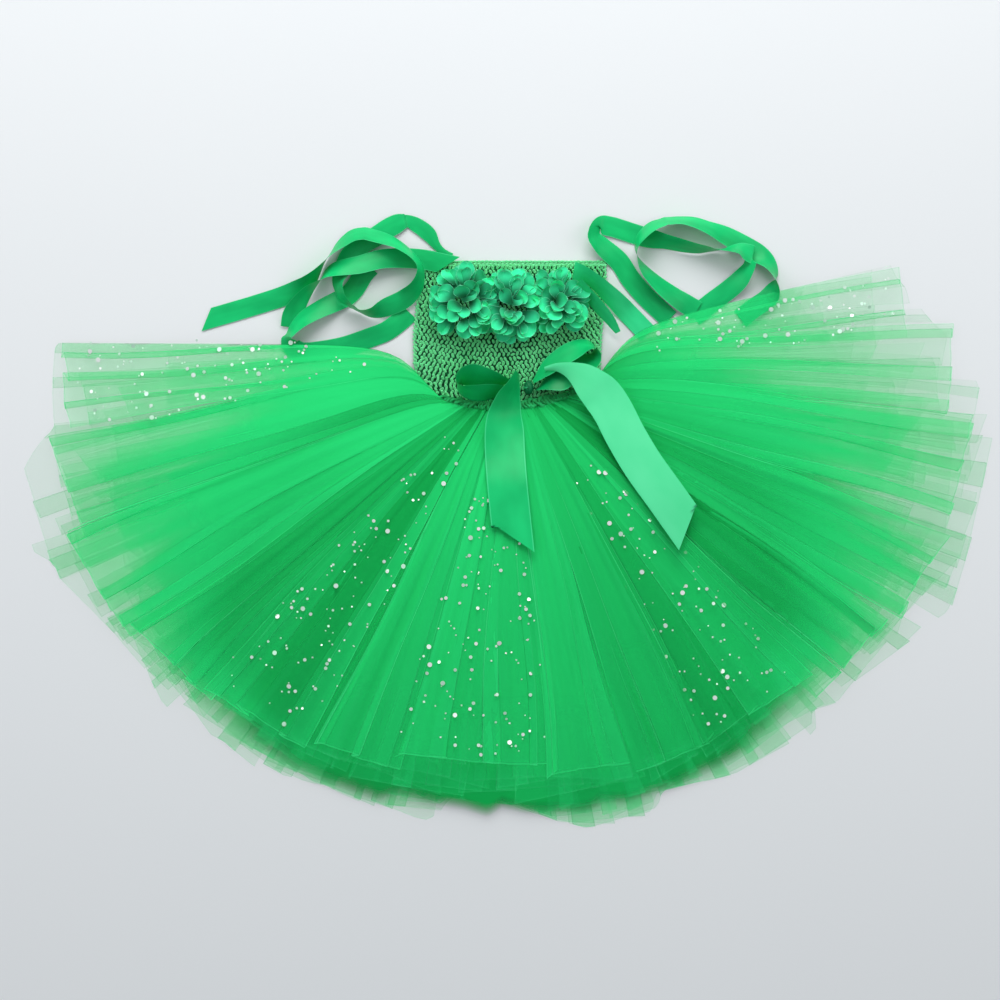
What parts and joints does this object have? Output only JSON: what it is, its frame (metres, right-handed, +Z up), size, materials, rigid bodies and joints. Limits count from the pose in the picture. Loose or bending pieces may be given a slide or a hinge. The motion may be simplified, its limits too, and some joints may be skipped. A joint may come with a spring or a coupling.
{
  "type": "child's tutu costume dress",
  "caption": "Child's tutu costume dress laid flat: crochet tube top with chiffon flowers and a satin bow, full tulle skirt and loose satin ribbon straps.",
  "frame": {"origin": "middle of the waist, on the surface that the dress lies on, on the flat underside of the crochet top", "axes": "+X to the right as the dress is seen from above, +Y towards the neck, +Z up from the surface that the dress lies on"},
  "size_m": [0.9783, 0.6138, 0.0505],
  "materials": {
    "crochet": "open crochet of matte green yarn",
    "tulle": "sheer matte net, opaque where many layers lie on each other, with silver sequins on some strips",
    "satin": "glossy satin ribbon",
    "chiffon": "matte sheer chiffon"
  },
  "bodies": {
    "root": {"bow_knot": "satin", "bow_loop_left": "satin", "bow_loop_right_lower": "satin", "bow_loop_right_upper": "satin", "bow_tail_left": "satin", "bow_tail_right": "satin", "crochet_top": "crochet", "flower_left_heart": "chiffon", "flower_left_inner": "chiffon", "flower_left_outer": "chiffon", "flower_middle_heart": "chiffon", "flower_middle_inner": "chiffon", "flower_middle_outer": "chiffon", "flower_right_heart": "chiffon", "flower_right_inner": "chiffon", "flower_right_outer": "chiffon", "skirt_core": "tulle", "strap_left_back": "satin", "strap_left_back_run": "satin", "strap_left_back_tail": "satin", "strap_left_back_turn": "satin", "strap_left_front": "satin", "strap_left_front_loop_lower": "satin", "strap_left_front_loop_upper": "satin", "strap_right_back": "satin", "strap_right_back_arch": "satin", "strap_right_back_loop": "satin", "strap_right_back_return": "satin", "strap_right_back_run": "satin", "strap_right_front": "satin", "strap_right_front_tail": "satin", "tulle_end_left": "tulle", "tulle_end_right": "tulle", "tulle_front_01": "tulle", "tulle_front_02": "tulle", "tulle_front_03": "tulle", "tulle_front_04": "tulle", "tulle_front_05": "tulle", "tulle_front_06": "tulle", "tulle_front_07": "tulle", "tulle_front_08": "tulle", "tulle_front_09": "tulle", "tulle_front_10": "tulle", "tulle_knots": "tulle", "tulle_sequin_left": "tulle", "tulle_sequin_middle": "tulle", "tulle_sequin_right": "tulle"}
  },
  "joints": []
}
